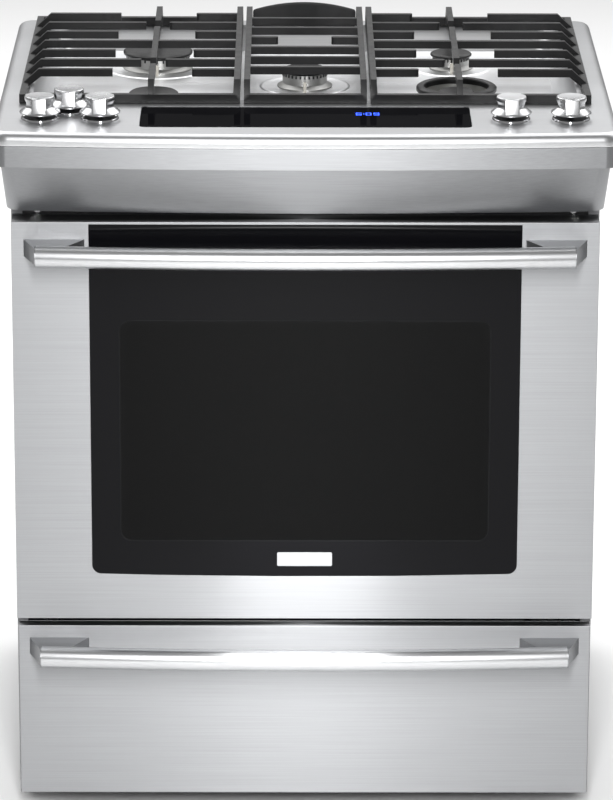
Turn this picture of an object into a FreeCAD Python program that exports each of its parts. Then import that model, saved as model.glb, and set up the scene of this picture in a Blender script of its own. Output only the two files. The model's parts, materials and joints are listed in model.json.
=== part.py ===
"""Freestanding gas range, built as a parametric document of separate sub-parts.

Frame: +X to the right, +Y to the back, +Z up, millimetres. The origin is at the middle of
the footprint, on the floor. The range faces -Y.
"""
import FreeCAD, Part
import math
import os
import types

import Sketcher
from FreeCAD import Placement, Rotation, Vector

# ---------------------------------------------------------------- driving dimensions

SIZES = {
    # overall
    "body_wide": 758, "rim_top": 927, "overall_deep": 719, "rim_over": 21,
    # levels, from the floor up
    "toe_gap": 22, "drawer_tall": 236, "gap": 10, "apron_tall": 66, "band_tall": 28,
    "nosing_tall": 17,
    # plan
    "handle_reach": 68, "rim_ahead": 19, "bow": 14, "rim_corner": 22, "rear_lip": 10,
    "sheet": 1.6, "nosing_wall": 8.5, "hem_round": 1.5, "nosing_round": 11, "overlap_step": 2,
    "slack": 0.6, "fit": 0.05, "lift_gap": 0.4,
    # fascia
    "fascia_wall": 2, "apron_inset": 11, "apron_taper": 5, "apron_slope": 35, "step": 2,
    # deck
    "deck_side": 43, "deck_front": 19, "deck_rear": 38, "deck_deep": 32,
    "deck_slope": 24, "deck_corner": 42,
    # control panel
    "glass_side": 25.8, "glass_front": 35, "glass_back": 148, "glass_thick": 5,
    "glass_drop": 0.8, "glass_corner": 8, "board_wide": 240, "board_deep": 80,
    "board_tall": 14,
    # knobs
    "knob_edge": 59, "knob_room": 24.6, "knob_gap": 1.4, "knob_row": 81.5, "knob_lift": 7.7,
    "skirt_round": 26.2, "skirt_top": 19,
    "skirt_tall": 7, "waist_round": 15.5, "head_round": 19.3, "knob_tall": 22.5,
    "skirt_edge": 1.6, "neck_rise": 1.5, "head_flare": 3, "head_tall": 4,
    "grip_wide": 19, "grip_inset": 1.5, "grip_base": 2, "grip_drop": 0.6,
    "stem_round": 4, "stem_long": 66, "stem_grip": 15, "stem_wall": 2, "stem_room": 3,
    "bezel_round": 25, "bezel_tall": 1.6,
    # burners
    "burner_side": 201, "burner_front": 127, "burner_rear": 162,
    "floor_hole": 20, "venturi_round": 18, "venturi_long": 26,
    "base_edge": 2, "shoulder_level": 6, "cap_break": 1.5, "cap_edge": 2, "cap_crown": 3,
    "dual_base": 52, "dual_rise": 14, "dual_rim": 49, "dual_tall": 19, "dual_hollow": 44,
    "dual_floor": 8, "dual_hub": 24, "dual_ring_thick": 8, "dual_cap_thick": 6,
    "spark_round": 2.2, "spark_tall": 14, "spark_gap": 4,
    # pan supports
    "grate_gap": 15.3, "grate_rear": 37, "grate_inner": 85, "grate_edge": 15,
    "grate_middle": 80, "grate_tall": 30, "bar_wide": 8, "bar_tall": 10,
    "rail_tall": 12, "rail_wide": 9, "row_first": 71, "row_last": 63,
    "middle_first": 85, "middle_last": 90, "short_tip": 52, "long_tip": 16, "tip_flat": 0.5,
    "stub_long": 40, "leg_lean": 2, "shoulder_in": 22, "shoulder_run": 3, "rail_bite": 5,
    "rail_drop": 2,
    "hood_tall": 35, "hood_end": 24, "hood_thick": 5, "hood_rear": 48,
    # chassis
    "panel_thick": 1.2, "front_flange": 14, "plate": 2, "seal_gap": 4,
    "cavity_side": 74, "cavity_drop": 46, "cavity_behind": 113, "cavity_rise": 77,
    "liner_thick": 1.5, "wool": 24, "baffle_back": 18, "sill": 12,
    "foot_round": 18, "foot_tall": 8, "stud_round": 5, "foot_inset": 42,
    "foot_ahead": 130, "foot_behind": 40, "base_level": 26, "shelf_gap": 4, "flue_deep": 90,
    "bead": 7,
    # oven fittings
    "rack_wire": 3, "rack_rod": 2, "rack_rise": 27, "rack_short": 12,
    "wire_count": 15,
    "ladder_ahead": 25, "ladder_behind": 45, "ladder_below": 14, "ladder_above": 50,
    "ledge_above": 106, "ledge_count": 7, "ledge_wide": 14, "ledge_thick": 3, "ledge_gap": 0.4,
    "tube_round": 9, "tube_lift": 1, "bake_side": 150, "bake_ahead": 20, "bake_short": 60,
    "broil_drop": 12, "broil_short": 30, "screen_half": 70,
    "fan_round": 82, "fan_thick": 24, "fan_gap": 12, "fan_disc": 2,
    "hub_round": 16, "hub_wall": 4, "blade_root": 30, "blade_thick": 2, "blade_count": 12,
    "shaft_round": 4, "motor_round": 38, "motor_long": 55,
    "lamp_round": 27, "lamp_side": 200, "lamp_drop": 70, "lamp_tall": 14,
    # gas train
    "pipe_round": 8, "valve_wide": 24, "valve_tall": 32, "valve_drop": 46,
    "bore_floor": 4,
    "inlet_round": 10.45, "inlet_long": 18, "inlet_wall": 5, "inlet_room": 8, "inlet_out": 8,
    "regulator_in": 129, "regulator_level": 110, "regulator_round": 32,
    "regulator_deep": 42, "regulator_behind": 62, "spring_round": 17, "spring_long": 26,
    "cord_hole": 11, "cord_in": 79, "cord_level": 180,
    # door
    "door_thick": 42, "door_gap": 2, "skin": 1.5, "window_side": 99.5,
    "window_rise": 62, "window_arc": 3.5, "window_corner": 12, "pane": 4,
    "window_lip": 2, "glass_sink": 0.4, "pane_first": 14, "pane_pitch": 12, "rib": 20,
    "seal_ledge": 12, "view_side": 38.5, "view_drop": 132, "view_rise": 46, "view_grow": 14,
    "hinge_deep": 22, "hinge_rise": 34, "hinge_in": 29, "hinge_pin": 4, "arm_thick": 4,
    "cheek_side": 7, "cheek_thick": 3, "arm_ahead": 1, "arm_half": 8, "arm_tall": 60,
    "tongue_half": 7, "notch_room": 11, "notch_half": 9, "pin_out": 6,
    "badge_wide": 72, "badge_tall": 19, "badge_rise": 11, "badge_corner": 2, "badge_proud": 0.8,
    # handles
    "grip_round": 14, "grip_in": 34, "door_grip_drop": 35, "drawer_grip_drop": 29,
    "grip_wall": 2, "mount_in": 16, "mount_long": 78, "mount_lean": 24,
    "mount_above": 12, "mount_below": 10, "end_cap": 1.5, "end_lean": 6,
    # drawer
    "drawer_gap": 3, "front_thick": 19, "box_behind": 142, "box_tall": 130,
    "box_base": 46, "box_wall": 1.2, "rail_out": 14, "rail_high": 26, "channel_deep": 22,
    "channel_high": 44, "channel_lip": 2, "slide_behind": 137, "slide_level": 150,
    # fasteners
    "screw_round": 4.5, "screw_head": 2.4, "front_screw_in": 20, "rear_screw_in": 50,
    "rear_screw_base": 98, "rear_screws": 4,
}


class Size:
    """A number together with the sheet expression that gives it."""

    def __init__(self, value, text):
        self.value = float(value)
        self.text = text

    def __float__(self):
        return self.value

    def _join(self, other, sign, number):
        other = as_size(other)
        return Size(number(self.value, other.value), f"({self.text} {sign} {other.text})")

    def __add__(self, other):
        return self._join(other, "+", lambda a, b: a + b)

    def __sub__(self, other):
        return self._join(other, "-", lambda a, b: a - b)

    def __mul__(self, other):
        return self._join(other, "*", lambda a, b: a * b)

    def __truediv__(self, other):
        return self._join(other, "/", lambda a, b: a / b)

    def __radd__(self, other):
        return as_size(other) + self

    def __rsub__(self, other):
        return as_size(other) - self

    def __rmul__(self, other):
        return as_size(other) * self

    def __neg__(self):
        return 0 - self


def as_size(value):
    """A plain number as a Size."""
    if isinstance(value, Size):
        return value
    return Size(value, f"({float(value):.9g})")


doc = FreeCAD.newDocument("gas_range")
sheet = doc.addObject("Spreadsheet::Sheet", "sizes")
for row, (alias, number) in enumerate(SIZES.items(), 1):
    sheet.set(f"A{row}", alias)
    sheet.set(f"B{row}", str(number))
    sheet.setAlias(f"B{row}", alias)
doc.recompute()

d = types.SimpleNamespace(**{name: Size(SIZES[name], f"sizes.{name}") for name in SIZES})
sub_parts = []

# ---------------------------------------------------------------- modelling helpers


def bind(item, **sizes):
    """Drive properties of an object from the sheet."""
    for name, size in sizes.items():
        item.setExpression(name, as_size(size).text)


def place(item, x=0, y=0, z=0):
    """Drive an object's place from the sheet."""
    for axis, size in zip("xyz", (x, y, z)):
        item.setExpression(f"Placement.Base.{axis}", as_size(size).text)
    return item


def keep(item, label):
    """Name an object as a sub-part of the range."""
    item.Label = label
    sub_parts.append(item)
    return item


def block(name, x, y, z):
    """A box between the (low, high) pairs of each axis."""
    item = doc.addObject("Part::Box", name)
    for side, (low, high) in zip(("Length", "Width", "Height"), (x, y, z)):
        bind(item, **{side: as_size(high) - low})
    return place(item, x[0], y[0], z[0])


TURNS = {"x": Rotation(Vector(0, 1, 0), 90), "y": Rotation(Vector(1, 0, 0), -90), "z": Rotation()}


def rod(name, axis, start, radius, length):
    """A cylinder from start along +X, +Y or +Z."""
    item = doc.addObject("Part::Cylinder", name)
    item.Placement = Placement(Vector(), TURNS[axis])
    bind(item, Radius=radius, Height=length)
    return place(item, *start)


def fuse(name, items):
    item = doc.addObject("Part::MultiFuse", name)
    item.Shapes = items
    return item


def cut(name, base, tools):
    item = doc.addObject("Part::Cut", name)
    item.Base = base
    item.Tool = tools[0] if len(tools) == 1 else fuse(name + "_tools", tools)
    return item


def group(name, items):
    """Separate solids of one kind, kept together."""
    item = doc.addObject("Part::Compound", name)
    item.Links = items
    return item


def new_body(name):
    return doc.addObject("PartDesign::Body", name)


# Each sketch plane with the sign of its normal along the world axis that it faces.
PLANES = {"XY": ("XY_Plane", 1), "XZ": ("XZ_Plane", -1), "YZ": ("YZ_Plane", 1)}


def arc_middle(start, end, radius):
    """The middle of the minor arc that bulges to the right of start-to-end for radius > 0."""
    chord = end - start
    half = chord.Length / 2
    rise = abs(radius) - math.sqrt(max(radius * radius - half * half, 0))
    right = Vector(chord.y, -chord.x, 0).normalize()
    return (start + end) * 0.5 + right * math.copysign(rise, radius)


def sketch(body, plane, outlines, level):
    """Closed outlines on one of the body's own planes, at a level along the world axis.

    An outline is a list of (x, y) corners. A third value gives the radius of the arc to
    the next corner, positive where it bulges to the right. A circle is (x, y, "round", r).
    """
    role, sign = PLANES[plane]
    item = body.newObject("Sketcher::SketchObject", f"{body.Name}_sketch")
    origin_plane = [part for part in body.Origin.OriginFeatures if part.Role == role][0]
    item.AttachmentSupport = [(origin_plane, "")]
    item.MapMode = "FlatFace"
    item.setExpression("AttachmentOffset.Base.z", (as_size(level) * sign).text)
    geometry, limits = [], []
    for outline in outlines:
        if isinstance(outline, tuple):
            x, y, _, radius = outline
            edge = len(geometry)
            centre = Vector(float(x), float(y), 0)
            geometry.append(Part.Circle(centre, Vector(0, 0, 1), float(radius)))
            limits.append(("Radius", (edge,), radius))
            limits.append(("DistanceX", (-1, 1, edge, 3), x))
            limits.append(("DistanceY", (-1, 1, edge, 3), y))
            continue
        first = len(geometry)
        spots = [Vector(float(corner[0]), float(corner[1]), 0) for corner in outline]
        for index, corner in enumerate(outline):
            edge = len(geometry)
            start, end = spots[index], spots[(index + 1) % len(spots)]
            begins = 1
            if len(corner) == 3:
                middle = arc_middle(start, end, float(corner[2]))
                arc = Part.Arc(start, middle, end)
                geometry.append(arc)
                size = corner[2] if float(corner[2]) > 0 else -corner[2]
                limits.append(("Radius", (edge,), size))
                begins = 1 if float(corner[2]) > 0 else 2
            else:
                geometry.append(Part.LineSegment(start, end))
            limits.append(("DistanceX", (-1, 1, edge, begins), corner[0]))
            limits.append(("DistanceY", (-1, 1, edge, begins), corner[1]))
        for index, corner in enumerate(outline):
            following = (index + 1) % len(outline)
            after = outline[following]
            leaves = 1 if len(corner) == 3 and float(corner[2]) < 0 else 2
            arrives = 2 if len(after) == 3 and float(after[2]) < 0 else 1
            limits.append(("Coincident", (first + index, leaves, first + following, arrives), None))
    item.addGeometry(geometry, False)
    for kind, where, size in limits:
        if size is None:
            item.addConstraint(Sketcher.Constraint(kind, *where))
        else:
            size = as_size(size)
            number = item.addConstraint(Sketcher.Constraint(kind, *where, size.value))
            item.setExpression(f"Constraints[{number}]", size.text)
    return item


def slab(body, plane, outlines, span):
    """Add a prism of the outlines between two levels."""
    low, high = span
    level = high if plane == "XZ" else low
    profile = sketch(body, plane, outlines, level)
    item = body.newObject("PartDesign::Pad", f"{body.Name}_pad")
    item.Profile = profile
    bind(item, Length=as_size(high) - low)
    return item


def recess(body, plane, outlines, span):
    """Cut a prism of the outlines between two levels."""
    low, high = span
    level = low if plane == "XZ" else high
    profile = sketch(body, plane, outlines, level)
    item = body.newObject("PartDesign::Pocket", f"{body.Name}_pocket")
    item.Profile = profile
    bind(item, Length=as_size(high) - low)
    return item


def loft(body, kind, low, high):
    """Add or cut a ruled shape between two (outline, level) pairs on the XY plane."""
    item = body.newObject(f"PartDesign::{kind}Loft", f"{body.Name}_loft")
    sections = [sketch(body, "XY", [outline], level) for outline, level in (low, high)]
    item.Profile = sections[0]
    item.Sections = [sections[1]]
    item.Ruled = True
    return item


def turned(body, outline):
    """Revolve an outline of (radius, height) corners about the body's own Z axis."""
    profile = sketch(body, "XZ", [outline], 0)
    item = body.newObject("PartDesign::Revolution", f"{body.Name}_turned")
    item.Profile = profile
    item.ReferenceAxis = (profile, ["V_Axis"])
    item.Angle = 360
    return item


def round_edges(body, radius, wanted):
    """Fillet the body's edges that pass a test."""
    doc.recompute()
    tip = body.Tip
    names = [f"Edge{n}" for n, edge in enumerate(tip.Shape.Edges, 1) if wanted(edge)]
    item = body.newObject("PartDesign::Fillet", f"{body.Name}_round")
    item.Base = (tip, names)
    bind(item, Radius=radius)
    return item


def rectangle(x, y):
    """Corners of a rectangle between two (low, high) pairs, counter-clockwise."""
    return [(x[0], y[0]), (x[1], y[0]), (x[1], y[1]), (x[0], y[1])]


def rounded(x, y, corner):
    """A rectangle with rounded corners."""
    (x0, x1), (y0, y1) = x, y
    return [(x0 + corner, y0), (x1 - corner, y0, corner), (x1, y0 + corner),
            (x1, y1 - corner, corner), (x1 - corner, y1), (x0 + corner, y1, corner),
            (x0, y1 - corner), (x0, y0 + corner, corner)]


def arc_radius(chord, rise):
    """Radius of the arc with this chord and rise."""
    return chord * chord / (rise * 8) + rise / 2


def bowed(half, front, back, corner, rear_corner=None):
    """A plan outline whose front edge bows forward between rounded corners."""
    flat = half - corner
    points = [(-flat, front, arc_radius(flat * 2, d.bow)), (flat, front, corner),
              (half, front + corner)]
    if rear_corner is None:
        points += [(half, back), (-half, back)]
    else:
        points += [(half, back - rear_corner, rear_corner), (half - rear_corner, back),
                   (rear_corner - half, back, rear_corner), (-half, back - rear_corner)]
    return points + [(-half, front + corner, corner)]


# ---------------------------------------------------------------- shared places

body_half = d.body_wide / 2
rim_half = body_half + d.rim_over
rear_y = d.overall_deep / 2
face_y = d.handle_reach - d.overall_deep / 2
rim_front = face_y - d.rim_ahead
door_back = face_y + d.door_thick
frame_y = door_back + d.seal_gap
frame_back = frame_y + d.plate
chassis_back = rear_y - d.rear_lip

under_rim = d.rim_top - d.sheet
nosing_base = d.rim_top - d.nosing_tall
band_base = nosing_base - d.band_tall
apron_base = band_base - d.apron_tall
door_top = apron_base - d.gap
drawer_top = d.toe_gap + d.drawer_tall
door_base = drawer_top + d.gap
deck_top = d.rim_top - d.deck_deep
cavity_half = body_half - d.cavity_side
cavity_base = door_base + d.cavity_rise
cavity_top = door_top - d.cavity_drop
cavity_back = chassis_back - d.cavity_behind
panel_inner = body_half - d.panel_thick
hinge_y = face_y + d.hinge_deep
hinge_z = door_base + d.hinge_rise
hinge_x = body_half - d.hinge_in
shelf_base = drawer_top + d.shelf_gap
ladder_start = frame_back + d.ladder_ahead
rack_deep = cavity_back - d.ladder_behind - ladder_start
rack_low = cavity_base + d.rack_rise
ledge_pitch = (cavity_top - d.ledge_above - rack_low) / (SIZES["ledge_count"] - 1)
fan_level = (cavity_base + cavity_top) / 2
shaft_hole = d.stem_round + d.stem_room
door_half = body_half - d.door_gap
grip_half = door_half - d.grip_in
deck_half = rim_half - d.deck_side
regulator_x = d.regulator_in - body_half

knob_outer = rim_half - d.knob_edge
knob_inner = knob_outer - d.skirt_round * 2 - d.knob_room
knob_y = rim_front + d.knob_row
glass_half = knob_inner - d.skirt_round - d.glass_side
# The rear knob nearly touches the outer one, in this direction from it.
REAR_KNOB_TURN = math.radians(48)
rear_knob_reach = d.skirt_round * 2 + d.knob_gap
KNOBS = {
    "left_outer": (-knob_outer, knob_y),
    "left_inner": (-knob_inner, knob_y),
    "left_rear": (rear_knob_reach * math.cos(REAR_KNOB_TURN) - knob_outer,
                  rear_knob_reach * math.sin(REAR_KNOB_TURN) + knob_y),
    "right_inner": (knob_inner, knob_y),
    "right_outer": (knob_outer, knob_y),
}

grate_y0 = KNOBS["left_rear"][1] + d.skirt_round + d.grate_gap
grate_y1 = rear_y - d.grate_rear
front_burners = grate_y0 + d.burner_front
back_burners = rear_y - d.burner_rear
middle_burner = (front_burners + back_burners) / 2
# name: (x, y, base radius, head radius, head height, cap radius, cap thickness)
BURNERS = {
    "left_back": (-d.burner_side, back_burners, 48, 43, 19, 47.5, 6),
    "left_front": (-d.burner_side, front_burners, 31, 28, 13, 33, 5),
    "middle": (as_size(0), middle_burner, 37, 30, 20, 30, 5),
    "right_back": (d.burner_side, back_burners, 30, 24.5, 17, 28.5, 5),
}

# ---------------------------------------------------------------- cooktop


def build_cooktop():
    body = new_body("cooktop_sheet")
    slab(body, "XY", [bowed(rim_half, rim_front, rear_y, d.rim_corner, d.rim_corner)],
         (nosing_base, d.rim_top))
    rim = float(d.rim_top)
    base = float(nosing_base)
    round_edges(body, d.nosing_round,
                lambda edge: all(abs(v.Z - rim) < 0.01 for v in edge.Vertexes))
    round_edges(body, d.hem_round,
                lambda edge: all(abs(v.Z - base) < 0.01 for v in edge.Vertexes))
    wall = d.nosing_wall
    inner = rim_half - wall
    recess(body, "XY", [rounded((-inner, inner), (rim_front + wall, rear_y - wall),
                                d.rim_corner - wall)], (nosing_base, under_rim))
    recess(body, "XY", [rectangle((-rim_half - wall, rim_half + wall),
                                  (frame_y + wall, rear_y + wall))],
           (nosing_base, nosing_base + d.overlap_step))
    half = deck_half
    y0, y1 = grate_y0 + d.deck_front, rear_y - d.deck_rear
    slope, corner, skin = d.deck_slope, d.deck_corner, d.sheet

    def deck_outline(inset):
        return rounded((inset - half, half - inset), (y0 + inset, y1 - inset), corner - inset)

    loft(body, "Additive", (deck_outline(slope - skin), deck_top - skin),
         (deck_outline(-skin), under_rim))
    loft(body, "Subtractive", (deck_outline(slope), deck_top),
         (deck_outline(as_size(0)), d.rim_top))
    holes = [(x, y, "round", d.floor_hole) for x, y, *_ in BURNERS.values()]
    holes.append((d.burner_side, front_burners, "round", d.floor_hole))
    recess(body, "XY", holes, (deck_top - skin, deck_top))
    shafts = [(x, y, "round", shaft_hole) for x, y in KNOBS.values()]
    glass = glass_half + d.slack
    shafts.append(rounded((-glass, glass), (rim_front + d.glass_front - d.slack,
                                            rim_front + d.glass_back + d.slack),
                          d.glass_corner + d.slack))
    recess(body, "XY", shafts, (under_rim, d.rim_top))
    keep(body, "cooktop_sheet")


def build_fascia():
    body = new_body("front_trim_band")
    wall = d.fascia_wall
    slab(body, "XY", [bowed(rim_half, rim_front, frame_y, d.rim_corner)],
         (band_base, nosing_base))
    recess(body, "XY", [bowed(rim_half - wall, rim_front + wall, frame_y + wall,
                              d.rim_corner - wall)], (band_base, nosing_base))
    keep(body, "front_trim_band")

    body = new_body("front_apron")
    top_half = rim_half - d.apron_inset
    low_half = top_half - d.apron_taper
    top_front = rim_front + d.step
    low_front = top_front + d.apron_slope

    def outline(half, front, inset, back):
        return bowed(half - inset, front + inset, back, d.rim_corner - inset)

    loft(body, "Additive", (outline(low_half, low_front, as_size(0), frame_y), apron_base),
         (outline(top_half, top_front, as_size(0), frame_y), band_base))
    loft(body, "Subtractive",
         (outline(low_half, low_front, wall, frame_y + wall), apron_base),
         (outline(top_half, top_front, wall, frame_y + wall), band_base))
    keep(body, "front_apron")


def build_controls():
    body = new_body("control_glass")
    half = glass_half
    glass_y = (rim_front + d.glass_front, rim_front + d.glass_back)
    glass_top = d.rim_top - d.glass_drop
    glass_base = glass_top - d.glass_thick
    slab(body, "XY", [rounded((-half, half), glass_y, d.glass_corner)], (glass_base, glass_top))
    keep(body, "control_glass")

    board_half = d.board_wide / 2
    middle = (glass_y[0] + glass_y[1]) / 2
    keep(block("display_board", (-board_half, board_half),
               (middle - d.board_deep / 2, middle + d.board_deep / 2),
               (glass_base - d.board_tall, glass_base)), "display_board")

    valve_top = d.rim_top - d.valve_drop
    valve_base = valve_top - d.valve_tall
    bezels, valves = [], []
    pipe_y = knob_y + d.valve_wide / 2 + d.pipe_round
    pipe_z = valve_base + d.valve_tall / 2
    for name, (x, y) in KNOBS.items():
        knob = new_body(f"knob_{name}")
        bore = d.stem_round + d.fit
        head_base = d.knob_tall - d.head_tall
        turned(knob, [(bore, 0), (d.skirt_round, 0), (d.skirt_round, d.skirt_edge),
                      (d.skirt_top, d.skirt_tall), (d.waist_round, d.skirt_tall + d.neck_rise),
                      (d.waist_round, head_base - d.head_flare), (d.head_round, head_base),
                      (d.head_round, d.knob_tall), (0, d.knob_tall), (0, d.stem_grip),
                      (bore, d.stem_grip)])
        grip = d.grip_wide / 2
        slab(knob, "XY", [rectangle((-grip, grip), (d.grip_inset - d.head_round,
                                                    -d.stem_round - d.stem_wall))],
             (d.grip_base, d.knob_tall - d.grip_drop))
        place(knob, x, y, d.rim_top + d.knob_lift)
        keep(knob, f"knob_{name}")

        stem_top = d.rim_top + d.knob_lift + d.stem_grip - d.slack
        keep(rod(f"valve_stem_{name}", "z", (x, y, stem_top - d.stem_long), d.stem_round,
                 d.stem_long), f"valve_stem_{name}")

        ring = rod(f"bezel_{name}", "z", (x, y, d.rim_top), d.bezel_round, d.bezel_tall)
        hole = rod(f"bezel_hole_{name}", "z", (x, y, d.rim_top), shaft_hole, d.bezel_tall)
        bezels.append(cut(f"bezel_ring_{name}", ring, [hole]))

        side = d.valve_wide / 2
        case = block(f"valve_{name}", (x - side, x + side), (y - side, y + side),
                     (valve_base, valve_top))
        tools = [rod(f"valve_bore_{name}", "z", (x, y, valve_base + d.bore_floor), bore,
                     d.valve_tall)]
        if name == "left_rear":
            tools.append(rod("valve_pipe_tool", "x", (x - d.valve_wide, pipe_y, pipe_z),
                             d.pipe_round, d.valve_wide * 2))
        valves.append(cut(f"valve_case_{name}", case, tools))
    keep(group("knob_bezels", bezels), "knob_bezels")
    keep(group("burner_valves", valves), "burner_valves")

    pipe_half = knob_outer + d.valve_wide / 2
    keep(rod("gas_manifold", "x", (-pipe_half, pipe_y, pipe_z), d.pipe_round, pipe_half * 2),
         "gas_manifold")


def burner_cap(name, inner, outer, base, thick):
    """A turned cap, or a ring where it has an inner radius."""
    body = new_body(name)
    top = base + thick
    outline = [(inner, base), (outer - d.cap_break, base), (outer, base + d.cap_break),
               (outer, top - d.cap_edge), (outer - d.cap_crown, top)]
    if float(inner):
        outline += [(inner + d.cap_edge, top), (inner, top - d.cap_edge)]
    else:
        outline.append((inner, top))
    turned(body, outline)
    return body


def build_burners():
    heads, caps, sparks = [], [], []
    throat = [(0, -d.venturi_long), (d.venturi_round, -d.venturi_long), (d.venturi_round, 0)]
    for name, (x, y, base, head, tall, cap, thick) in BURNERS.items():
        body = new_body(f"head_{name}")
        turned(body, throat + [(base, 0), (base, d.base_edge), (head, d.shoulder_level),
                               (head, tall), (0, tall)])
        heads.append(place(body, x, y, deck_top))
        cap_body = burner_cap(f"cap_{name}", as_size(0), as_size(cap), as_size(tall), thick)
        caps.append(place(cap_body, x, y, deck_top))
        sparks.append(rod(f"igniter_{name}", "z", (x, y - base - d.spark_gap, deck_top),
                          d.spark_round, d.spark_tall))

    x, y = d.burner_side, front_burners
    body = new_body("head_dual")
    turned(body, throat + [(d.dual_base, 0), (d.dual_base, d.dual_rise),
                           (d.dual_rim, d.dual_tall), (d.dual_hollow, d.dual_tall),
                           (d.dual_hollow, d.dual_floor), (d.dual_hub, d.dual_floor),
                           (d.dual_hub - d.cap_edge, d.dual_rise), (0, d.dual_rise)])
    heads.append(place(body, x, y, deck_top))
    ring = burner_cap("cap_dual_ring", d.dual_hollow - d.cap_edge, d.dual_base + d.cap_break,
                      d.dual_tall, d.dual_ring_thick)
    caps.append(place(ring, x, y, deck_top))
    middle = burner_cap("cap_dual_middle", as_size(0), d.dual_hub, d.dual_rise,
                        d.dual_cap_thick)
    caps.append(place(middle, x, y, deck_top))
    sparks.append(rod("igniter_dual", "z", (x, y - d.dual_base - d.spark_gap, deck_top),
                      d.spark_round, d.spark_tall))

    keep(group("burner_heads", heads), "burner_heads")
    keep(group("burner_caps", caps), "burner_caps")
    keep(group("igniters", sparks), "igniters")


# ---------------------------------------------------------------- pan supports

seat = d.rim_top + d.lift_gap
grate_top = d.rim_top + d.grate_tall
bar_base = grate_top - d.bar_tall
rail_top = d.rim_top + d.rail_tall
lean = d.grate_tall - d.rail_tall
# The bar over the burners runs between these rows, counted from the first row.
SPINE_RUNS = ((None, 0.55), (1.15, 4.55), (5.2, None))
SIDE_ROWS = 7
MIDDLE_ROWS = 6


def long_bar(body, x_span, start, end):
    """A bar along Y. An end at a perimeter rail comes down to it as a leg."""
    points_top, points_low = [], []
    if start is grate_y0:
        points_low += [(start, seat), (start + d.rail_wide, seat),
                       (start + d.rail_wide + lean / 2, bar_base)]
        points_top += [(start + lean / 2 + d.leg_lean, grate_top), (start, rail_top)]
    else:
        points_low += [(start, bar_base)]
        points_top += [(start, grate_top)]
    if end is grate_y1:
        points_low += [(end - d.rail_wide - lean, bar_base), (end - d.rail_wide, seat),
                       (end, seat)]
        points_top = [(end, rail_top), (end - lean, grate_top)] + points_top
    else:
        points_low += [(end, bar_base)]
        points_top = [(end, grate_top)] + points_top
    slab(body, "YZ", [points_low + points_top], x_span)


def build_side_grate(name, side):
    """The pan support over a front and a back burner, on one side (-1 or 1)."""
    body = new_body(name)
    inner, outer = d.grate_inner, deck_half + d.grate_edge
    half_bar = d.bar_wide / 2
    low_x, high_x = sorted((side * inner, side * outer), key=float)
    rail = d.rail_wide
    slab(body, "XY", [rectangle((low_x, high_x), (grate_y0, grate_y1)),
                      rectangle((low_x + rail, high_x - rail),
                                (grate_y0 + rail, grate_y1 - rail))], (seat, rail_top))
    edge = sorted((side * inner, side * (inner + d.bar_wide)), key=float)
    long_bar(body, edge, grate_y0, grate_y1)

    axis = side * d.burner_side
    spine = (axis - half_bar, axis + half_bar)
    first = grate_y0 + d.row_first
    pitch = (grate_y1 - d.row_last - first) / (SIDE_ROWS - 1)
    for start, end in SPINE_RUNS:
        long_bar(body, spine, grate_y0 if start is None else first + pitch * start,
                 grate_y1 if end is None else first + pitch * end)

    bend = outer - d.shoulder_in
    shoulder = (bend - d.shoulder_run, bar_base)
    for row in range(SIDE_ROWS):
        y = first + pitch * row
        tip = d.long_tip if row in (1, 5) else d.short_tip
        if row == 3:
            tip = as_size(0)
        near, far = d.burner_side - tip, d.burner_side + tip
        if row == 3:
            near = inner
            outward = [(near, bar_base), shoulder]
        else:
            slab(body, "XY", [finger(side, near, inner + half_bar, y)], (bar_base, grate_top))
            outward = [(far, bar_base), shoulder]
            near = far
        bite = rail_top - d.rail_bite
        profile = outward + [(outer - rail, bite), (outer, bite), (outer, rail_top - d.rail_drop),
                             (bend, grate_top), (near, grate_top)]
        profile = [(side * x, z) for x, z in profile]
        slab(body, "XZ", [profile], (y - half_bar, y + half_bar))
    keep(body, name)


def finger(side, tip, root, y):
    """Plan of a straight finger with a rounded tip, between two distances from the middle."""
    half = d.bar_wide / 2
    turn = half - d.tip_flat
    way = 1 if float(tip) > float(root) else -1
    inside = tip - turn * way
    bulge = turn * (side * way)
    return [(side * root, y - half), (side * inside, y - half, bulge),
            (side * tip, y - half + turn), (side * tip, y + half - turn, bulge),
            (side * inside, y + half), (side * root, y + half)]


def build_middle_grate():
    body = new_body("grate_centre")
    half, rail = d.grate_middle, d.bar_wide
    slab(body, "XY", [rectangle((-half, half), (grate_y0, grate_y0 + d.rail_wide))],
         (seat, rail_top))
    for side in (-1, 1):
        x_span = sorted((side * half, side * (half - rail)), key=float)
        long_bar(body, x_span, grate_y0, grate_y1)
    inner = half - rail / 2
    first = grate_y0 + d.middle_first
    pitch = (grate_y1 - d.middle_last - first) / (MIDDLE_ROWS - 1)
    for row in range(MIDDLE_ROWS):
        y = first + pitch * row
        if row == 3:
            for side in (-1, 1):
                slab(body, "XY", [finger(side, inner - d.stub_long, inner, y)],
                     (bar_base, grate_top))
        else:
            slab(body, "XY", [rectangle((-inner, inner), (y - rail / 2, y + rail / 2))],
                 (bar_base, grate_top))
    keep(body, "grate_centre")

    body = new_body("oven_vent_hood")
    half = d.grate_middle - d.bar_wide - d.slack
    y = rear_y - d.hood_rear
    rise = d.hood_tall - d.hood_end
    slab(body, "XZ", [[(-half, d.rim_top), (half, d.rim_top), (half, d.rim_top + d.hood_end,
                                                              arc_radius(half * 2, rise)),
                       (-half, d.rim_top + d.hood_end)]],
         (y - d.hood_thick / 2, y + d.hood_thick / 2))
    keep(body, "oven_vent_hood")


# ---------------------------------------------------------------- chassis


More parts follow.
